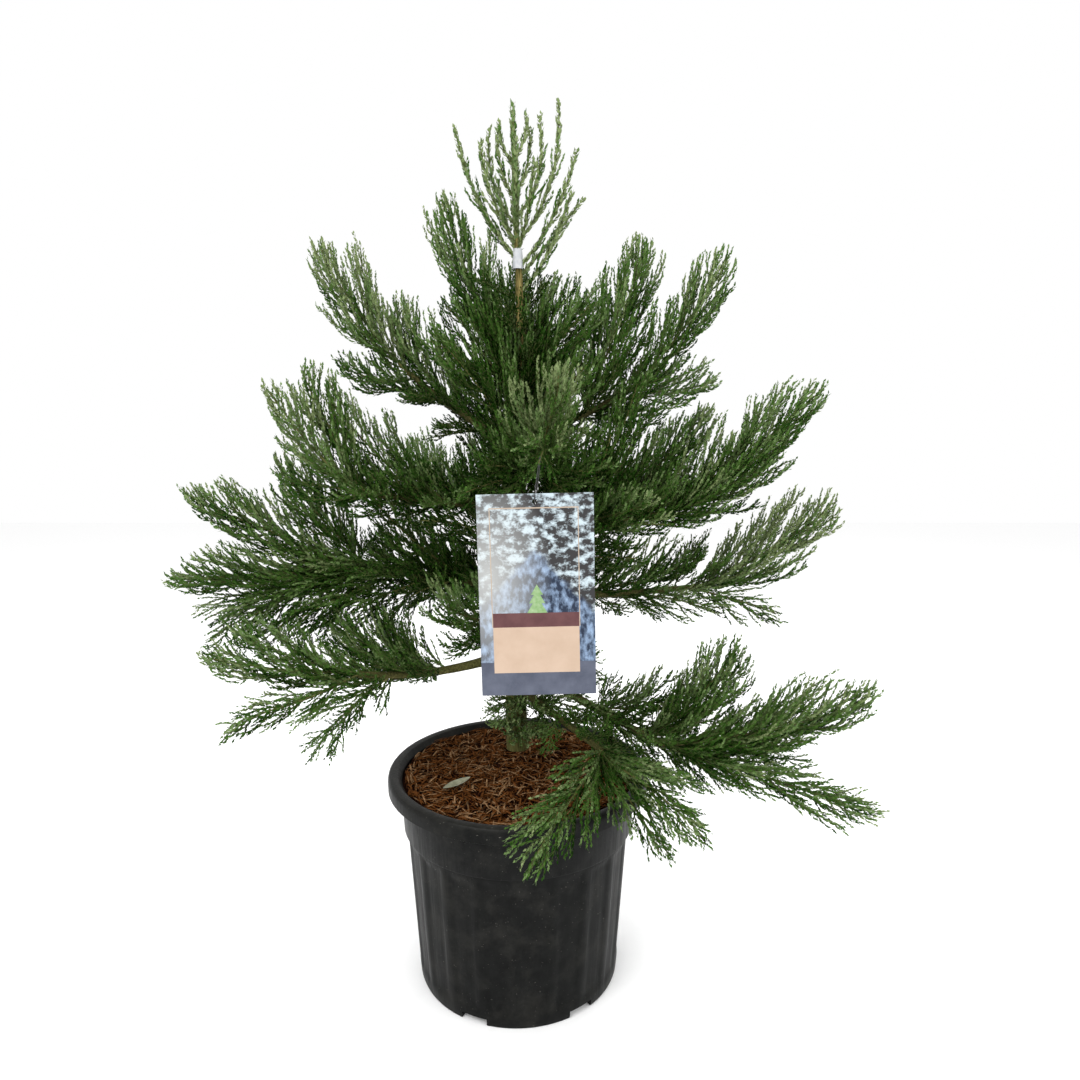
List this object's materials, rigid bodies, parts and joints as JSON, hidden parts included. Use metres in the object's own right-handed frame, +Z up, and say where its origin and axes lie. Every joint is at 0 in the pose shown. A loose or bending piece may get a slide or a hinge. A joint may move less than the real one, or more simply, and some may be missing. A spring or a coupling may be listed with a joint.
{
  "type": "young giant sequoia tree in a nursery pot",
  "caption": "Young giant sequoia with upswept cord-like foliage in a round black nursery pot with bark mulch, a hang tag and a leader tie.",
  "frame": {"origin": "centre of the pot's flat underside", "axes": "+Z up along the pot's axis and the trunk, +X towards the longest low bough, -Y towards the hang tag's printed face"},
  "size_m": [0.9942, 0.7884, 1.2945],
  "materials": {
    "pot_plastic": "black moulded plastic with a soft sheen and a little dust",
    "bark_mulch": "loose reddish-brown bark fibre",
    "trunk_bark": "young fibrous bark, grey-green below and golden brown above",
    "bough_bark": "thin olive-brown young bark",
    "foliage": "awl-shaped evergreen leaves on cord-like shoots, lighter at the tips",
    "tie_plastic": "white soft plastic sleeve",
    "tag_print": "glossy printed plastic card, grey-blue with a tan panel"
  },
  "bodies": {
    "root": {"pot": "pot_plastic", "soil": "bark_mulch", "trunk": "trunk_bark", "leader_tie": "tie_plastic", "hang_tag": "tag_print", "bough_upper_left": "bough_bark", "bough_upper_right": "bough_bark", "bough_upper_back": "bough_bark", "bough_front": "bough_bark", "bough_mid_left": "bough_bark", "bough_mid_right": "bough_bark", "bough_back_left": "bough_bark", "bough_back_right": "bough_bark", "bough_left": "bough_bark", "bough_right": "bough_bark", "bough_low_front_left": "bough_bark", "bough_low_back": "bough_bark", "bough_low_left": "bough_bark", "bough_low_right": "bough_bark", "bough_low_front": "bough_bark", "leader_left": "foliage", "leader_right": "foliage", "upper_left": "foliage", "upper_right_outer": "foliage", "shoulder_left": "foliage", "upper_right": "foliage", "shoulder_back": "foliage", "back_crown": "foliage", "front_crown": "foliage", "upper_left_inner": "foliage", "upper_left_low": "foliage", "right_shelf": "foliage", "mid_right_outer": "foliage", "mid_right_inner": "foliage", "right_front": "foliage", "mid_left_outer": "foliage", "mid_left_tall": "foliage", "mid_left_inner": "foliage", "left_tall": "foliage", "left_top": "foliage", "left_fan": "foliage", "left_core": "foliage", "left_lower": "foliage", "right_core": "foliage", "right_outer": "foliage", "right_inner": "foliage", "back_left_fan": "foliage", "back_left_inner": "foliage", "back_right_fan": "foliage", "back_right_inner": "foliage", "low_back_fan": "foliage", "front_skirt": "foliage", "low_left_fan": "foliage", "low_left_droop": "foliage", "low_right_inner": "foliage", "low_right_tall": "foliage", "low_right_outer": "foliage", "low_right_under": "foliage", "low_front_left": "foliage", "low_front_right": "foliage"}
  },
  "joints": []
}
